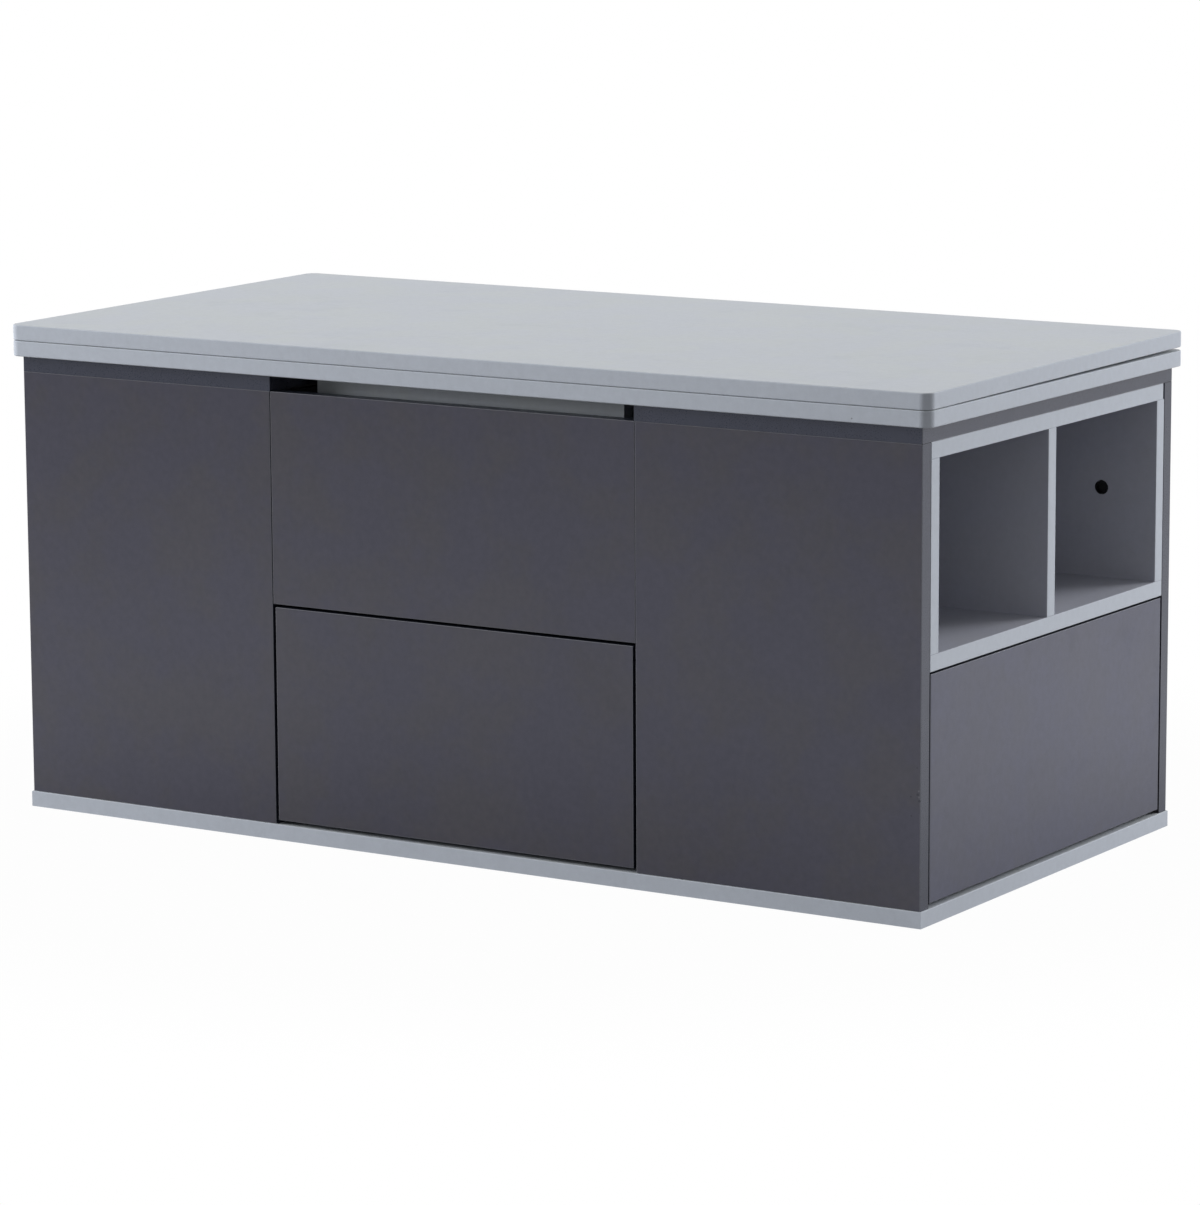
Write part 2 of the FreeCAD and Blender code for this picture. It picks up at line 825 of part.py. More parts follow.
# Top
leaf = leaf_before_folding()
nodes["lower_leaf"] = leaf
nodes["upper_leaf"] = folded_over(leaf)
nodes["grip_rail"] = grip_rail()
nodes["leaf_hinge_fixed_parts"] = Part.makeCompound([hinge_part(x, 0) for x in hinge_middles()])
nodes["leaf_hinge_swing_parts"] = folded_over(
    Part.makeCompound([hinge_part(x, 1) for x in hinge_middles()])
)
nodes["leaf_hinge_pins"] = Part.makeCompound([hinge_pin(x) for x in hinge_middles()])

for name, shape in nodes.items():
    shape.exportStep("parts/" + name + ".step")
print(len(nodes), "nodes")
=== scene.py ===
import json
import math

import bpy
import numpy as np
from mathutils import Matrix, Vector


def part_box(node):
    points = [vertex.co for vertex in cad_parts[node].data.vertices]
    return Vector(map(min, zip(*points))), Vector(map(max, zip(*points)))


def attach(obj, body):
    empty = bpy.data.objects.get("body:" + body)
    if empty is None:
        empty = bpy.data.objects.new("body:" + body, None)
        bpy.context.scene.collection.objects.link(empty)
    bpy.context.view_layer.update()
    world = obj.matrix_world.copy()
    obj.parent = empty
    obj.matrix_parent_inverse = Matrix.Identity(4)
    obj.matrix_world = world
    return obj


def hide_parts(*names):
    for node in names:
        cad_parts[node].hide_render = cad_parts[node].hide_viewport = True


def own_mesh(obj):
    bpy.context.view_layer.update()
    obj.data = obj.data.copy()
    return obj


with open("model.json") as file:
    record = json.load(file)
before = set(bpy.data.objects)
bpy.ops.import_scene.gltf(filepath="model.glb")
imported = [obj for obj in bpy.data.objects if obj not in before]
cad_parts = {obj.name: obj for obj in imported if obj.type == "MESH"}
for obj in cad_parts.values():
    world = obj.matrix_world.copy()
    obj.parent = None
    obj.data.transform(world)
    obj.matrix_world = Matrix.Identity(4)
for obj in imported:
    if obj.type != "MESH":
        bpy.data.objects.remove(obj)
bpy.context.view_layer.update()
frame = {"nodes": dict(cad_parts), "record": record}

# Looks of an adjustable coffee table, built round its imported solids. Metres, in the solids' own
# frame: X to the right end, Y to the back, Z up from the floor.

# View of the photograph: picture size and focal length in pixels, place, and turns in radians
picture_height = 1205
focal_length = 5041.74
camera_place = (2.54079, -3.99159, 1.03792)
camera_yaw = -0.565259
camera_pitch = -0.173703
camera_roll = 0.00516
sensor_width = 36.0

# Colours, as linear light
grey_face = (0.500, 0.534, 0.588)
grey_patch = (0.506, 0.541, 0.572)
grey_band = (0.496, 0.535, 0.605)
# painted shade: the shelf boards' faces are a darker copy of the grey board, standing in for the
# shade inside the open shelves
shelf_painted_shade_face = (0.400, 0.412, 0.474)
shelf_painted_shade_patch = (0.403, 0.413, 0.464)
# painted shade: near black for the partitions, standing in for the unlit inside of the well under
# the top
well_painted_shade_face = (0.012, 0.0120, 0.0145)
dark_face = (0.0405, 0.0382, 0.0540)
dark_patch = (0.0435, 0.0398, 0.0455)
# painted light: a lighter, bluer copy of the dark board for the dark boards that face the ends,
# standing in for the stronger light on those sides
side_painted_light_face = (0.060, 0.0620, 0.0950)
side_painted_light_patch = (0.061, 0.0618, 0.0870)
dark_band = (0.0255, 0.0285, 0.0430)
dark_gloss = (0.80, 0.835, 1.0)
box_face = (0.43, 0.44, 0.455)
hardboard = (0.36, 0.36, 0.35)
hand_haze = (0.5, 0.49, 0.48)
# painted highlight: pale colour mixed into the roundings of the boards' edges, standing in for
# light caught there
rounding_painted_highlight = (0.6, 0.62, 0.66)
# painted shade: near black inside the shelf sides' screw pockets
pocket_painted_shade = (0.003, 0.003, 0.004)
pale_knock = (0.105, 0.105, 0.115)
dark_knock = (0.008, 0.008, 0.010)
pale_speck = (0.24, 0.25, 0.27)
zinc = (0.60, 0.60, 0.59)
bright_zinc = (0.52, 0.52, 0.50)
powder_black = (0.008, 0.008, 0.009)
spring_steel = (0.20, 0.20, 0.21)
opaque = (1.0,)

# Noises: cells to a metre, octaves, and the strength kept from one octave to the next
pearl_noise = (950.0, 3.0, 0.6)
grain_noise = (2600.0, 2.0, 0.5)
mottle_noise = (150.0, 3.0, 0.6)
slow_noise = (7.0, 4.0, 0.62)
patch_noise = (13.0, 5.0, 0.65)
smudge_noise = (16.0, 5.0, 0.7)
blotch_noise = (45.0, 4.0, 0.6)
knock_noise = (700.0, 3.0, 0.5)
pocket_noise = (420.0, 3.0, 0.5)

# Ramps: two limits of a value, then the levels that it takes at them (0 and 1 where none follow)
smudge_ramp = (0.52, 0.72)
patch_ramp = (0.40, 0.62)
pearl_roughness = (0.3, 0.7, 0.32, 0.41)
band_ramp = (0.55, 0.8, 1.0, 0.0)
rounding_ramp = (0.80, 0.985, 1.0, 0.0)

# Paper skin: strength of the mottle against the slow tone, of the pearl, and of the dulling by
# smudges; and depth and strength of the bump
mottle_gain = 3.0
pearl_gain = 0.09
smudge_roughness = 0.06
board_bump = (0.00006, 0.35)
metal_gloss = 0.25

nodes = frame["nodes"]
slots = {row["node"]: row["material_slot"] for row in frame["record"]["subparts"]}


class Graph:
    """One node tree. Inputs are given by name or place, as values or as other nodes' sockets."""

    def __init__(self, tree):
        self.tree = tree

    def link(self, output, socket):
        self.tree.links.new(output, socket)

    def add(self, kind, inputs=None, **settings):
        node = self.tree.nodes.new(kind)
        for name, value in settings.items():
            setattr(node, name, value)
        for key, value in (inputs or {}).items():
            if isinstance(value, bpy.types.NodeSocket):
                self.link(value, node.inputs[key])
            else:
                node.inputs[key].default_value = value
        return node

    def math(self, operation, *values):
        return self.add("ShaderNodeMath", dict(enumerate(values)), operation=operation).outputs[0]

    def vector(self, operation, *values):
        node = self.add("ShaderNodeVectorMath", dict(enumerate(values)), operation=operation)
        gives_number = operation in ("DOT_PRODUCT", "LENGTH", "DISTANCE")
        return node.outputs["Value" if gives_number else "Vector"]

    def scaled(self, colour, level):
        inputs = {0: colour, "Scale": level}
        return self.add("ShaderNodeVectorMath", inputs, operation="SCALE").outputs[0]

    def about_middle(self, value, width):
        """Value of a noise less its middle, times a width."""
        return self.math("MULTIPLY", self.math("SUBTRACT", value, 0.5), width)

    def ramp(self, value, low, high, to_low=0.0, to_high=1.0):
        """Value between two limits, smoothed and brought to two others."""
        inputs = {0: value, 1: low, 2: high, 3: to_low, 4: to_high}
        return self.add("ShaderNodeMapRange", inputs, interpolation_type="SMOOTHSTEP").outputs[0]

    def noise(self, place, scale, detail, roughness):
        inputs = {"Vector": place, "Scale": scale, "Detail": detail, "Roughness": roughness}
        return self.add("ShaderNodeTexNoise", inputs).outputs["Fac"]

    def mix(self, share, first, second):
        """Two colours mixed. A mix node's colours are its inputs 6 and 7 and its output 2."""
        inputs = {0: share, 6: first, 7: second}
        return self.add("ShaderNodeMix", inputs, data_type="RGBA").outputs[2]


def new_group(name, takes, gives):
    """Empty shader group; takes are (label, kind, first value) and gives (label, kind)."""
    tree = bpy.data.node_groups.new(name, "ShaderNodeTree")
    for label, kind, value in takes:
        socket = tree.interface.new_socket(label, in_out="INPUT", socket_type="NodeSocket" + kind)
        if value is not None:
            socket.default_value = value
    for label, kind in gives:
        tree.interface.new_socket(label, in_out="OUTPUT", socket_type="NodeSocket" + kind)
    g = Graph(tree)
    return g, g.add("NodeGroupInput").outputs, g.add("NodeGroupOutput").inputs


plain_grey = (0.5, 0.5, 0.5, 1)
surface_gives = [("Colour", "Color"), ("Roughness", "Float"), ("Height", "Float")]


def melamine_group():
    """Pressed paper skin: a fine pearl, a mottle, slow patches of a second tone and faint hand
    marks; the height is mostly pearl, with a finer grain on it."""
    takes = [
        ("Place", "Vector", None),
        ("Face Colour", "Color", plain_grey),
        ("Patch Colour", "Color", plain_grey),
        ("Band Colour", "Color", plain_grey),
        ("Band", "Float", 0.0),
        ("Band Polish", "Float", 0.0),
        ("Cloud", "Float", 0.05),
        ("Marks", "Float", 0.0),
    ]
    g, start, end = new_group("melamine", takes, surface_gives)
    place = start["Place"]
    kinds = (pearl_noise, grain_noise, mottle_noise, slow_noise, smudge_noise, patch_noise)
    pearl, grain, mottle, slow, smudge, patches = (g.noise(place, *kind) for kind in kinds)
    smudge = g.ramp(smudge, *smudge_ramp)
    patches = g.ramp(patches, *patch_ramp)
    face = g.mix(patches, start["Face Colour"], start["Patch Colour"])
    base = g.mix(start["Band"], face, start["Band Colour"])
    uneven = g.math("ADD", g.math("SUBTRACT", slow, 0.5), g.about_middle(mottle, mottle_gain))
    cloud = g.math("MULTIPLY", uneven, start["Cloud"])
    level = g.math("ADD", g.math("ADD", 1.0, cloud), g.about_middle(pearl, pearl_gain))
    marks = g.math("MULTIPLY", smudge, start["Marks"])
    g.link(g.mix(marks, g.scaled(base, level), hand_haze + opaque), end["Colour"])
    dulling = g.math("MULTIPLY", smudge, smudge_roughness)
    polish = g.math("MULTIPLY", start["Band"], start["Band Polish"])
    rough = g.math("ADD", g.ramp(pearl, *pearl_roughness), dulling)
    g.link(g.math("SUBTRACT", rough, polish), end["Roughness"])
    height = g.math("ADD", g.math("MULTIPLY", pearl, 0.75), g.math("MULTIPLY", grain, 0.25))
    g.link(height, end["Height"])
    return g.tree


def edges_group():
    """Masks of a board: its banded edges, and the narrow roundings between its faces."""
    takes = [("Normal", "Vector", None), ("Thickness Axis", "Vector", (0, 0, 1))]
    g, start, end = new_group("board_edges", takes, [("Band", "Float"), ("Rounding", "Float")])
    across = g.math("ABSOLUTE", g.vector("DOT_PRODUCT", start["Normal"], start["Thickness Axis"]))
    g.link(g.ramp(across, *band_ramp), end["Band"])
    parts = g.add("ShaderNodeSeparateXYZ", {0: g.vector("ABSOLUTE", start["Normal"])}).outputs
    most = g.math("MAXIMUM", g.math("MAXIMUM", parts[0], parts[1]), parts[2])
    g.link(g.ramp(most, *rounding_ramp), end["Rounding"])
    return g.tree


def metal_group():
    """Plated or coated steel: fine cell pattern, and blotches of tone and dullness."""
    takes = [
        ("Place", "Vector", None),
        ("Colour In", "Color", plain_grey),
        ("Variation", "Float", 0.1),
        ("Smooth", "Float", 0.3),
        ("Rough", "Float", 0.5),
        ("Cell Scale", "Float", 700.0),
    ]
    g, start, end = new_group("plated_steel", takes, surface_gives)
    cells = g.noise(start["Place"], start["Cell Scale"], 3.0, 0.55)
    blotch = g.noise(start["Place"], *blotch_noise)
    level = g.math("ADD", 1.0, g.about_middle(blotch, start["Variation"]))
    g.link(g.scaled(start["Colour In"], level), end["Colour"])
    dullness = {0: blotch, 1: 0.25, 2: 0.75, 3: start["Smooth"], 4: start["Rough"]}
    g.link(g.add("ShaderNodeMapRange", dullness).outputs[0], end["Roughness"])
    g.link(cells, end["Height"])
    return g.tree


melamine = melamine_group()
board_edges = edges_group()
plated_steel = metal_group()


def new_material(name):
    """Material with its graph, its shader and the piece's own coordinates."""
    finish = bpy.data.materials.new(name)
    finish.use_nodes = True
    g = Graph(finish.node_tree)
    shader = finish.node_tree.nodes["Principled BSDF"]
    return finish, g, shader, g.add("ShaderNodeTexCoord").outputs


def finish_surface(g, shader, colour, surface, depth, strength=1.0):
    """Links a colour, and a group's roughness and height, to the shader."""
    g.link(colour, shader.inputs["Base Color"])
    g.link(surface["Roughness"], shader.inputs["Roughness"])
    bump = {"Height": surface["Height"], "Distance": depth, "Strength": strength}
    g.link(g.add("ShaderNodeBump", bump).outputs[0], shader.inputs["Normal"])


def board_material(name, colours, axis, cloud, marks, line, polish, spots=(), pockets=()):
    """Melamine-faced board: its face, patch and edge-band colours, painted highlight lines on its
    roundings, spots given as (place, radius, colour), and painted shade, near black, inside its
    screw pockets."""
    finish, g, shader, coordinates = new_material(name)
    place = coordinates["Object"]
    sides = {"Normal": coordinates["Normal"], "Thickness Axis": axis}
    masks = g.add("ShaderNodeGroup", sides, node_tree=board_edges).outputs
    face, patch, band = colours
    skin = {
        "Place": place,
        "Face Colour": face + opaque,
        "Patch Colour": patch + opaque,
        "Band Colour": band + opaque,
        "Band": masks["Band"],
        "Band Polish": polish,
        "Cloud": cloud,
        "Marks": marks,
    }
    surface = g.add("ShaderNodeGroup", skin, node_tree=melamine).outputs
    colour = surface["Colour"]
    # Painted highlight on the roundings
    if line:
        share = g.math("MULTIPLY", masks["Rounding"], line)
        colour = g.mix(share, colour, rounding_painted_highlight + opaque)
    for centre, radius, spot_colour in spots:
        ragged = g.about_middle(g.noise(place, *knock_noise), radius)
        away = g.math("ADD", g.vector("DISTANCE", place, centre), ragged)
        colour = g.mix(g.ramp(away, 0.75 * radius, radius, 1.0, 0.0), colour, spot_colour + opaque)
    # Painted shade: the pockets' inside painted near black
    if pockets:
        flat = g.vector("MULTIPLY", g.vector("ABSOLUTE", place), (1.0, 0.0, 1.0))
        first, second = (g.vector("DISTANCE", flat, centre) for centre in pockets)
        ragged = g.about_middle(g.noise(place, *pocket_noise), pocket_rag)
        away = g.math("ADD", g.math("MINIMUM", first, second), ragged)
        inside = g.ramp(away, pocket_radius, pocket_radius + pocket_rim, 1.0, 0.0)
        colour = g.mix(inside, colour, pocket_painted_shade + opaque)
    finish_surface(g, shader, colour, surface, *board_bump)
    if name.startswith(("dark_board", "well_board")):
        shader.inputs["Specular Tint"].default_value = dark_gloss + opaque
        shader.inputs["Specular IOR Level"].default_value = 1.0
    return finish


def metal_material(name, colour, metallic, smooth, rough, variation, cells, depth):
    finish, g, shader, coordinates = new_material(name)
    steel = {
        "Place": coordinates["Object"],
        "Colour In": colour + opaque,
        "Variation": variation,
        "Smooth": smooth,
        "Rough": rough,
        "Cell Scale": cells,
    }
    surface = g.add("ShaderNodeGroup", steel, node_tree=plated_steel).outputs
    shader.inputs["Metallic"].default_value = metallic
    shader.inputs["Specular IOR Level"].default_value = metal_gloss
    finish_surface(g, shader, surface["Colour"], surface, depth)
    return finish


along = {"x": (1.0, 0.0, 0.0), "y": (0.0, 1.0, 0.0), "z": (0.0, 0.0, 1.0)}


def thickness_axis(node):
    """Axis along which a board is thinnest."""
    low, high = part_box(node)
    size = {"x": high.x - low.x, "y": high.y - low.y, "z": high.z - low.z}
    return min(size, key=size.get)


# Screw pockets of the shelf sides, painted shade inside: radius, raggedness and soft rim of the
# painted shade, and places (X and Z count)
pocket_radius = 0.0067
pocket_rag = 0.0012
pocket_rim = 0.0003
pocket_places = ((0.2715, 0.0, 0.3245), (0.4330, 0.0, 0.3245))
shelf_sides = ("_shelf_front_side", "_shelf_back_side")
pocketed = [end + side for end in ("right", "left") for side in shelf_sides]

# Small knocks on a panel's front face, as X, Z, radius and colour, and a speck on a leaf's edge
panel_front = -0.241875
panel_knocks = (
    (0.4879, 0.1220, 0.0010, pale_knock),
    (0.4868, 0.1190, 0.0014, dark_knock),
    (0.4881, 0.1168, 0.0010, pale_knock),
    (0.4883, 0.1134, 0.0012, dark_knock),
    (0.4800, 0.1165, 0.0009, dark_knock),
    (0.4804, 0.0995, 0.0008, dark_knock),
    (0.4860, 0.1425, 0.0008, dark_knock),
)
panel_spots = [((x, panel_front, z), radius, colour) for x, z, radius, colour in panel_knocks]
leaf_spots = [((0.4240, -0.249125, 0.4438), 0.0008, pale_speck)]
knocks = {"front_panel_right": panel_spots, "lower_leaf": leaf_spots}

# Boards: colours of face, patch and edge band, strength of the uneven tone, share of hand marks,
# share of painted highlight on the roundings, and how much smoother the edge bands are
board_looks = {
    "grey_board": ((grey_face, grey_patch, grey_band), 0.05, 0.0, 0.0, -0.05),
    # painted shade: shelf faces darker than the grey board, edges as the grey board
    "shelf_board": ((shelf_painted_shade_face, shelf_painted_shade_patch, grey_band), 0.05, 0.0, 0.0, -0.05),
    "dark_board": ((dark_face, dark_patch, dark_band), 0.20, 0.006, 0.30, 0.06),
    # painted light: lighter, bluer copy of the dark board for boards that face the ends
    "dark_board_side": ((side_painted_light_face, side_painted_light_patch, dark_band), 0.18, 0.006, 0.30, 0.06),
    # painted shade: near-black board for the partitions inside the well
    "well_board": ((well_painted_shade_face, well_painted_shade_face, well_painted_shade_face), 0.14, 0.006, 0.0, 0.06),
    "drawer_board": ((box_face, box_face, box_face), 0.05, 0.0, 0.0, 0.0),
    "thin_board": ((hardboard, hardboard, hardboard), 0.08, 0.0, 0.0, 0.0),
}

# Metals: colour, metallic share, roughness from and to, tone variation, cells to a metre and
# depth of the cells
metal_looks = {
    "black_powder_coat": (powder_black, 0.0, 0.42, 0.55, 0.2, 1600.0, 0.00006),
    "zinc_plate": (zinc, 1.0, 0.24, 0.42, 0.25, 260.0, 0.00001),
    "spring_wire": (spring_steel, 1.0, 0.22, 0.38, 0.2, 900.0, 0.00001),
    "screw_zinc": (bright_zinc, 1.0, 0.26, 0.40, 0.3, 500.0, 0.00001),
}
steels = {name: metal_material(name, *looks) for name, looks in metal_looks.items()}
metals = {"black_steel": steels["black_powder_coat"], "zinc_steel": steels["zinc_plate"]}
spring_finish, screw_zinc = steels["spring_wire"], steels["screw_zinc"]
board_finishes = {}


def finish_of(node):
    """Material of a solid, from its slot and, for a board, its thickness axis."""
    slot = slots[node]
    if slot in metals:
        return metals[slot]
    axis = thickness_axis(node)
    # Shelf boards take the darker faces of painted shade
    if "_shelf_" in node:
        slot = "shelf_board"
    # painted light: dark boards that face the ends take the lighter, bluer copy of the dark board
    if slot == "dark_board" and axis == "x":
        # painted shade: the partitions take the near-black well board
        slot = "well_board" if node.startswith("partition") else "dark_board_side"
    special = node if node in knocks else "pocketed" if node in pocketed else "plain"
    key = (slot, axis, special)
    if key not in board_finishes:
        colours, cloud, marks, line, polish = board_looks[slot]
        spots = knocks.get(node, ())
        pockets = pocket_places if special == "pocketed" else ()
        board_finishes[key] = board_material(
            "_".join(key), colours, along[axis], cloud, marks, line, polish, spots, pockets
        )
    return board_finishes[key]


for name, piece in nodes.items():
    piece.data.materials.clear()
    piece.data.materials.append(finish_of(name))


def circle(count):
    """Angles of equal steps once round."""
    return np.linspace(0, 2 * math.pi, count, endpoint=False)


def unit(vector):
    return vector / np.linalg.norm(vector, axis=-1, keepdims=True)


def grid_faces(rows, columns, close_rows=False, close_columns=False):
    """Quads of a grid of points, joined round where a direction is closed."""
    a = np.arange(rows if close_rows else rows - 1)[:, None]
    b = np.arange(columns if close_columns else columns - 1)[None, :]
    c, d = (a + 1) % rows, (b + 1) % columns
    quads = np.stack([a * columns + b, c * columns + b, c * columns + d, a * columns + d], axis=-1)
    return quads.reshape(-1, 4).tolist()


def end_fans(columns, first_middle, first_row, last_middle, last_row):
    """Triangles that close the first and the last ring of a grid closed in its columns, each
    round a middle point."""
    fans = []
    for k in range(columns):
        after = (k + 1) % columns
        fans.append([first_middle, first_row + k, first_row + after])
        fans.append([last_middle, last_row + after, last_row + k])
    return fans


def new_object(name, points, faces, finish):
    mesh = bpy.data.meshes.new(name)
    mesh.from_pydata(points.tolist(), [], faces)
    mesh.update()
    mesh.materials.append(finish)
    thing = bpy.data.objects.new(name, mesh)
    bpy.context.scene.collection.objects.link(thing)
    return thing


def make_piece(name, points, faces, finish, smooth=True):
    piece = new_object(name, points, faces, finish)
    if smooth:
        piece.data.polygons.foreach_set("use_smooth", np.ones(len(faces), bool))
    return piece


def swept_wire(path, side, radius, sides):
    """Round wire along a path: a circle carried in the plane across each step of the path,
    started from the side direction there, with a point at each end to close it."""
    step = unit(np.gradient(path, axis=0))
    side = unit(side - np.sum(side * step, axis=1, keepdims=True) * step)
    up = np.cross(side, step)
    turn = circle(sides)[None, :, None]
    ring = path[:, None, :] + radius * (np.cos(turn) * side[:, None] + np.sin(turn) * up[:, None])
    points = np.concatenate([ring.reshape(-1, 3), path[:1], path[-1:]])
    first, last = len(points) - 2, (len(path) - 1) * sides
    faces = grid_faces(len(path), sides, close_columns=True)
    return points, faces + end_fans(sides, first, 0, first + 1, last)


# Coil springs of the lift: the hook rings round the studs, the wire, the coil (its radius is
# reached within ease_turns from each end, from end_share of it), and the straight necks
stud_ring = 0.0037
wire_radius = 0.00125
coil_radius = 0.00475
coil_turns = 54
steps_per_turn = 22
ease_turns = 0.9
end_share = 0.15
hook_length = 0.016
neck_start = 0.0043
neck_steps = 8
wire_sides = 8
ring_around = 48
ring_sides = 10


def stud_hook(centre):
    """Hook round a stud: the wire's circle carried once round a larger circle across X."""
    turn = circle(ring_around)[:, None]
    around = circle(ring_sides)[None, :]
    reach = stud_ring + wire_radius * np.cos(around)
    parts = [wire_radius * np.sin(around) + 0 * turn, reach * np.cos(turn), reach * np.sin(turn)]
    points = np.stack(parts, axis=-1).reshape(-1, 3) + centre
    return points, grid_faces(ring_around, ring_sides, close_rows=True, close_columns=True)


def spring_path(low_hook, high_hook, side):
    """Wire line of a tension spring between the hooks round two studs, and its outward
    directions: a straight neck at each end, and between them a circle carried evenly along the
    line, narrower in its end turns."""
    length = np.linalg.norm(high_hook - low_hook)
    along_line = unit(high_hook - low_hook)
    sideways = np.array([side, 0.0, 0.0])
    upwards = np.cross(along_line, sideways)
    share = np.linspace(0, 1, coil_turns * steps_per_turn + 1)
    ease = np.clip(np.minimum(share, 1 - share) * coil_turns / ease_turns, 0, 1)
    radius = coil_radius * (end_share + (1 - end_share) * ease * ease * (3 - 2 * ease))
    coil_run = hook_length + (length - 2 * hook_length) * share
    step = np.linspace(0, 1, neck_steps, endpoint=False)
    neck_run = neck_start + (hook_length - neck_start) * step
    neck_out = end_share * coil_radius * step
    run = np.concatenate([neck_run, coil_run, length - neck_run[::-1]])[:, None]
    reach = np.concatenate([neck_out, radius, neck_out[::-1]])[:, None]
    swing = np.concatenate([0 * step, 2 * math.pi * coil_turns * share, 0 * step])[:, None]
    outward = np.cos(swing) * upwards + np.sin(swing) * sideways
    return low_hook + run * along_line + reach * outward, outward


# Turn of the lift from rest to where it is up, and for each spring the way that the lever's stud
# takes over it
lift_joint = next(row for row in frame["record"]["behaviour"]["joints"] if row["name"] == "lift")
lift_pivot = np.array(lift_joint["pos_m"])
lift_angle = math.radians(lift_joint["range_deg"][1])
cosine, sine = math.cos(lift_angle), math.sin(lift_angle)
lift_turn = np.array([[1.0, 0.0, 0.0], [0.0, cosine, -sine], [0.0, sine, cosine]])

for side, label in ((1, "right"), (-1, "left")):
    node = "lift_spring_" + label
    low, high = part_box(node)
    middle = (low.x + high.x) / 2
    reach = stud_ring + wire_radius
    lever = np.array([middle, low.y + reach, high.z - reach])
    anchor = np.array([middle, high.y - reach, low.z + reach])
    ends = ((lever, "lever_hook_", "front_arms"), (anchor, "anchor_hook_", "carcass"))
    for place, name, body in ends:
        points, faces = stud_hook(place)
        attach(make_piece(name + label, points, faces, spring_finish), body)
    wire_line, outward = spring_path(lever, anchor, side)
    points, faces = swept_wire(wire_line, outward, wire_radius, wire_sides)
    spring = make_piece("coil_spring_" + label, points, faces, spring_finish)
    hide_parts(node)
    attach(spring, "carcass")
    offset = (lever - lift_pivot) * (0.0, 1.0, 1.0)
    travel = lift_turn @ offset - offset
    distance = np.linalg.norm(travel)
    travel /= distance
    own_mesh(spring)


def drive_head(radius, rise, rim, recess, depth, rings=12, around=40):
    """Head of a screw, along +Z from its seat: a dome that falls with the square of the
    distance from its axis down to its rim, less a cross-shaped recess with sloping walls, and
    closed by a skirt and a flat underside."""
    share = np.linspace(0, 1, rings)[1:, None]
    turn = circle(around)[None, :]
    x, y = radius * share * np.cos(turn), radius * share * np.sin(turn)
    slot_half, slot_wall, end_wall = 0.17 * recess, 0.10 * recess, 0.25 * recess
    inside = np.clip((slot_half - np.minimum(abs(x), abs(y))) / slot_wall + 0.5, 0, 1)
    reach = np.clip((recess - np.maximum(abs(x), abs(y))) / end_wall, 0, 1)
    z = rise - (rise - rim) * share**2 - depth * inside * reach
    top = np.stack([x, y, z], axis=-1).reshape(-1, 3)
    skirt = np.stack([x[-1], y[-1], np.zeros(around)], axis=-1)
    middles = np.array([[0.0, 0.0, rise - depth], [0.0, 0.0, 0.0]])
    points = np.concatenate([top, skirt, middles])
    first, last = rings * around, (rings - 1) * around
    faces = grid_faces(rings, around, close_columns=True)
    return points, faces + end_fans(around, first, 0, first + 1, last)


def heads_piece(name, head, seats, body):
    """One piece of equal heads; a seat is (middle, direction the head stands out in). Each head
    is turned on from the one before it, as a driver leaves them."""
    points, faces = head
    all_points, all_faces = [], []
    for number, (middle, out) in enumerate(seats):
        out = unit(np.array(out, float))
        side = unit(np.cross(out, along["z"] if abs(out[2]) < 0.9 else along["y"]))
        spin = 0.7 * number + 0.3
        across = math.cos(spin) * side + math.sin(spin) * np.cross(out, side)
        axes = np.stack([across, np.cross(out, across), out])
        all_faces += [[corner + len(points) * number for corner in face] for face in faces]
        all_points.append(points @ axes + np.array(middle, float))
    piece = make_piece(name, np.concatenate(all_points), all_faces, screw_zinc, smooth=False)
    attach(piece, body)


def both_ends(seats):
    """Seats of the right end and their mirror images at the left end."""
    flip = np.array([-1.0, 1.0, 1.0])
    return seats + [(tuple(flip * middle), tuple(flip * out)) for middle, out in seats]


# Heads of the screws, in the holes of the solids that they hold: radius, rise, height of the
# rim, and half width and depth of the recess
small_head = drive_head(0.0042, 0.0008, 0.0002, 0.0022, 0.0012)
round_head = drive_head(0.0042, 0.0022, 0.0007, 0.0024, 0.0016)
hinge_head = drive_head(0.0030, 0.00035, 0.0001, 0.0015, 0.0008)

# Lift plates: on their faces towards the middle, at Y and Z
plate_face = 0.197
plate_places = ((-0.208875, 0.359), (-0.073875, 0.359), (-0.141375, 0.411))
plate_seats = both_ends([((plate_face, y, z), (-1.0, 0.0, 0.0)) for y, z in plate_places])
heads_piece("plate_screws", small_head, plate_seats, "carcass")

# Top rails: on their undersides, along one line
rail_line, rail_underside = 0.179, 0.437
rail_places = (-0.158875, 0.025625, 0.210125)
rail_seats = both_ends([((rail_line, y, rail_underside), (0.0, 0.0, -1.0)) for y in rail_places])
heads_piece("rail_screws", round_head, rail_seats, "top")

# Leaf hinges: on their faces to the back. Those of the swinging parts lie as those of the fixed
# parts do, mirrored over the height of the hinge axis and tilted with the closed leaf
hinge_middles = (-0.38, 0.0, 0.38)
screw_steps = (-0.018, 0.0, 0.018)
hinge_face, hinge_screw_level = 0.245875, 0.447425
closed_tilt = math.radians(0.3125)
hinge_low, hinge_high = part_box("leaf_hinge_pins")
axis_y, axis_z = (hinge_low.y + hinge_high.y) / 2, (hinge_low.z + hinge_high.z) / 2
setback, drop = axis_y - hinge_face, axis_z - hinge_screw_level
cosine, sine = math.cos(closed_tilt), math.sin(closed_tilt)
swing_y = axis_y - setback * cosine - drop * sine
swing_z = axis_z - setback * sine + drop * cosine
hinge_x = [middle + step for middle in hinge_middles for step in screw_steps]
fixed_seats = [((x, hinge_face, hinge_screw_level), (0.0, 1.0, 0.0)) for x in hinge_x]
swing_seats = [((x, swing_y, swing_z), (0.0, cosine, sine)) for x in hinge_x]
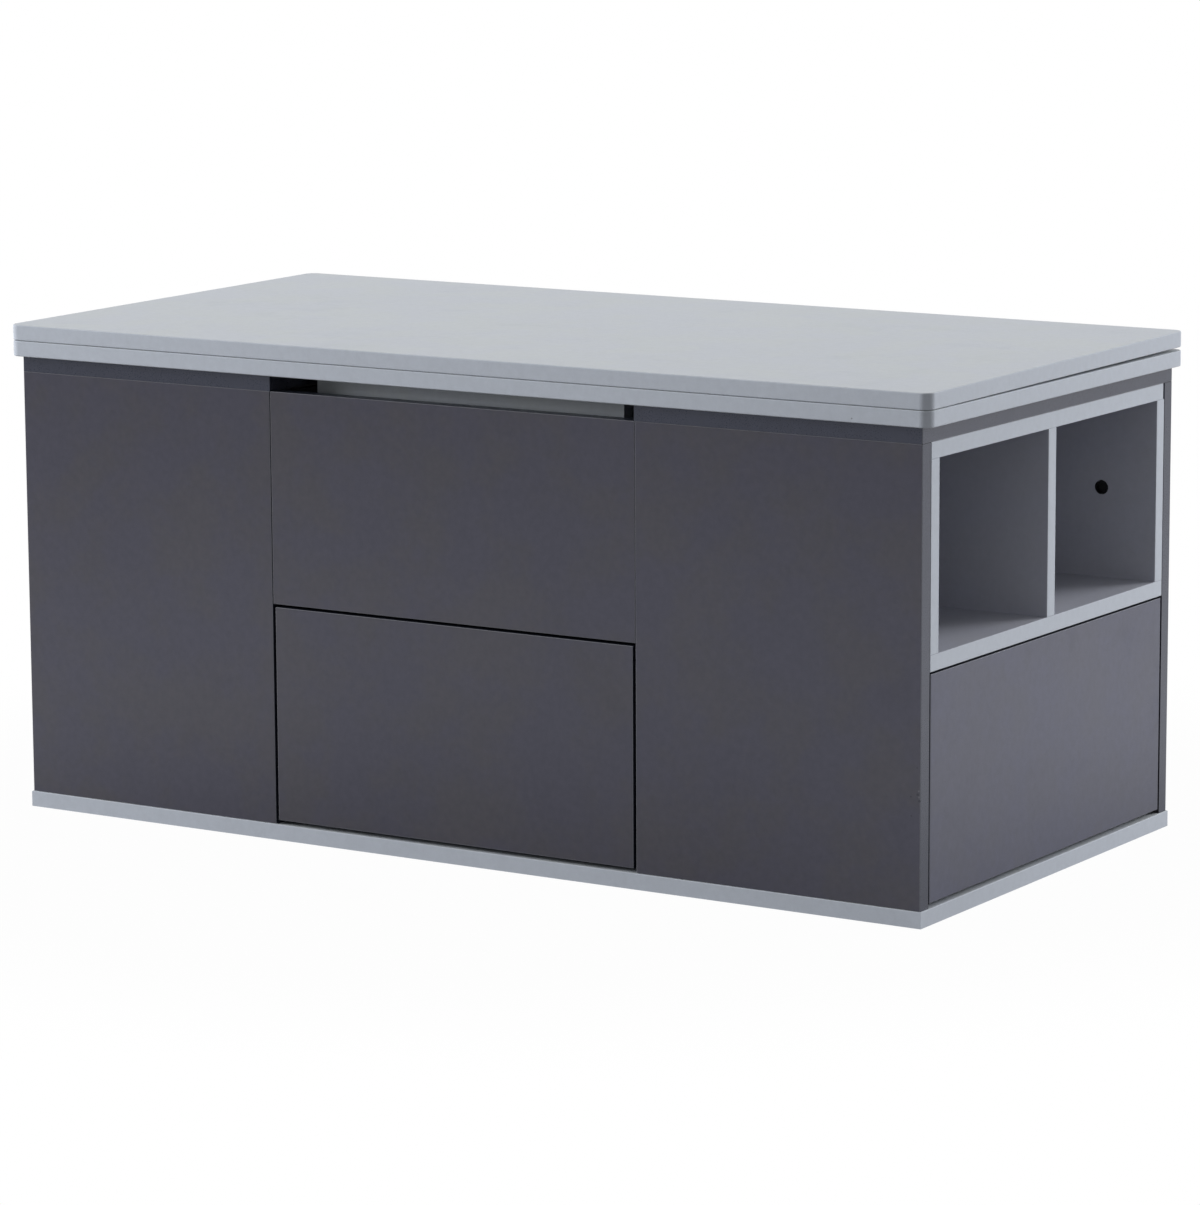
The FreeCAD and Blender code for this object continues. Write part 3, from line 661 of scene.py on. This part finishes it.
heads_piece("hinge_screws_fixed", hinge_head, fixed_seats, "top")
heads_piece("hinge_screws_swing", hinge_head, swing_seats, "flip_leaf")


# Plain studio: white floor and background. Ambient is the sky's strength for light; the ramps
# give levels over a distance from the table's middle, or over how far a place or direction lies
# to the back.
ambient = 0.31
sky_mirror_ramp = (-0.2, 0.4, 0.32, 0.7)
floor_far_ramp = (-0.3, 0.5, 0.2, 0.8)
floor_fade_ramp = (1.3, 2.9)
floor_near_ramp = (0.3, 1.1, 0.35, 1.0)
floor_seen_ramp = (0.6, 1.0, 0.98, 1.0)
floor_radii = (0.0, 0.6, 1.2, 2.4, 6.0, 30.0)
floor_sides = 96
floor_drop = 0.0004
floor_paint = (0.25, 0.25, 0.25)
white = (1.0, 1.0, 1.0)

# Soft boxes: place, target, width and height, and watts
lamps = {
    "overhead_soft_box": ((0.0, 0.2, 2.9), (0.0, 0.0, 0.4), (3.0, 2.2), 15.5),
    "left_soft_box": ((-4.8, -2.25, 1.7), (0.0, 0.0, 0.25), (2.0, 2.5), 322.0),
    "right_soft_box": ((2.7, 4.6, 1.4), (0.0, 0.0, 0.25), (2.6, 2.1), 330.0),
}


def mirrored_rays(g, path):
    """1 for the rays of gloss and clear matter, 0 for all others."""
    return g.math("MAXIMUM", path["Is Glossy Ray"], path["Is Transmission Ray"])


def floor_material():
    """White for the camera, with a little of the table's shadow left near it; its own level for
    gloss, lower near the table and far in front of it; and plain paint for all other light."""
    finish = bpy.data.materials.new("studio_floor")
    finish.use_nodes = True
    finish.node_tree.nodes.clear()
    g = Graph(finish.node_tree)
    place = g.add("ShaderNodeTexCoord").outputs["Object"]
    path = g.add("ShaderNodeLightPath").outputs
    away = g.vector("LENGTH", place)
    backwards = g.add("ShaderNodeSeparateXYZ", {0: place}).outputs[1]
    far_loss = g.math("SUBTRACT", 1.0, g.ramp(backwards, *floor_far_ramp))
    fading = g.math("MULTIPLY", g.ramp(away, *floor_fade_ramp), far_loss)
    near_level = g.ramp(away, *floor_near_ramp)
    mirror_level = g.math("MULTIPLY", near_level, g.math("SUBTRACT", 1.0, fading))
    mirror_share = g.math("MULTIPLY", mirrored_rays(g, path), mirror_level)
    camera_share = g.math("MULTIPLY", path["Is Camera Ray"], g.ramp(away, *floor_seen_ramp))
    share = g.math("MAXIMUM", camera_share, mirror_share)
    paint = g.add("ShaderNodeBsdfDiffuse", {"Color": floor_paint + opaque}).outputs[0]
    glow = g.add("ShaderNodeEmission", {"Color": white + opaque, "Strength": 1.0}).outputs[0]
    mixed = g.add("ShaderNodeMixShader", {0: share, 1: paint, 2: glow}).outputs[0]
    g.add("ShaderNodeOutputMaterial", {"Surface": mixed})
    return finish


def studio_floor():
    """Flat disc: rings of points round the table's middle, a hair below its underside."""
    turn = circle(floor_sides)
    radius = np.array(floor_radii)[:, None]
    points = np.stack([radius * np.cos(turn), radius * np.sin(turn), 0 * radius * turn], axis=-1)
    faces = grid_faces(len(floor_radii), floor_sides, close_columns=True)
    floor = new_object("studio_floor", points.reshape(-1, 3), faces, floor_material())
    floor.location.z = -floor_drop


def studio_world():
    """White for the camera, ambient for light, and for gloss a level by direction."""
    world = bpy.data.worlds.new("studio")
    bpy.context.scene.world = world
    world.use_nodes = True
    world.node_tree.nodes.clear()
    g = Graph(world.node_tree)
    path = g.add("ShaderNodeLightPath").outputs
    direction = g.add("ShaderNodeTexCoord").outputs["Generated"]
    backwards = g.add("ShaderNodeSeparateXYZ", {0: direction}).outputs[1]
    mirror_gain = g.math("SUBTRACT", g.ramp(backwards, *sky_mirror_ramp), ambient)
    mirror_part = g.math("MULTIPLY", mirrored_rays(g, path), mirror_gain)
    camera_part = g.math("MULTIPLY", path["Is Camera Ray"], 1.0 - ambient)
    strength = g.math("ADD", g.math("ADD", ambient, camera_part), mirror_part)
    sky = g.add("ShaderNodeBackground", {"Color": white + opaque, "Strength": strength})
    g.add("ShaderNodeOutputWorld", {"Surface": sky.outputs[0]})


def stand(name, data, right, up, back, place):
    """Object of lamp or camera data, at a place, with its three axes."""
    thing = bpy.data.objects.new(name, data)
    bpy.context.scene.collection.objects.link(thing)
    matrix = np.eye(4)
    matrix[:3] = np.stack([right, up, back, place], axis=1)
    thing.matrix_world = matrix.T.tolist()
    return thing


def soft_box(name, place, target, size, power):
    """Rectangular lamp at a place, turned to a target, unseen by gloss."""
    data = bpy.data.lights.new(name, "AREA")
    data.shape = "RECTANGLE"
    data.size, data.size_y = size
    data.energy = power
    back = unit(np.array(place) - np.array(target))
    right = unit(np.cross(along["z"], back))
    lamp = stand(name, data, right, np.cross(back, right), back, place)
    lamp.visible_glossy = False


def photo_camera():
    """Camera from its place and its three turns: yaw from +Y, pitch up, roll about its line."""
    level = np.array([math.sin(camera_yaw), math.cos(camera_yaw), 0.0])
    ahead = math.cos(camera_pitch) * level + math.sin(camera_pitch) * np.array(along["z"])
    level_right = np.array([math.cos(camera_yaw), -math.sin(camera_yaw), 0.0])
    level_down = np.cross(ahead, level_right)
    cosine, sine = math.cos(camera_roll), math.sin(camera_roll)
    right = cosine * level_right + sine * level_down
    down = cosine * level_down - sine * level_right
    data = bpy.data.cameras.new("photo_camera")
    data.sensor_width = sensor_width
    data.lens = focal_length * sensor_width / picture_height
    data.clip_end = 60.0
    bpy.context.scene.camera = stand("photo_camera", data, right, -down, -ahead, camera_place)


studio_floor()
studio_world()
for name, looks in lamps.items():
    soft_box(name, *looks)
photo_camera()
bpy.context.scene.view_settings.view_transform = "Standard"
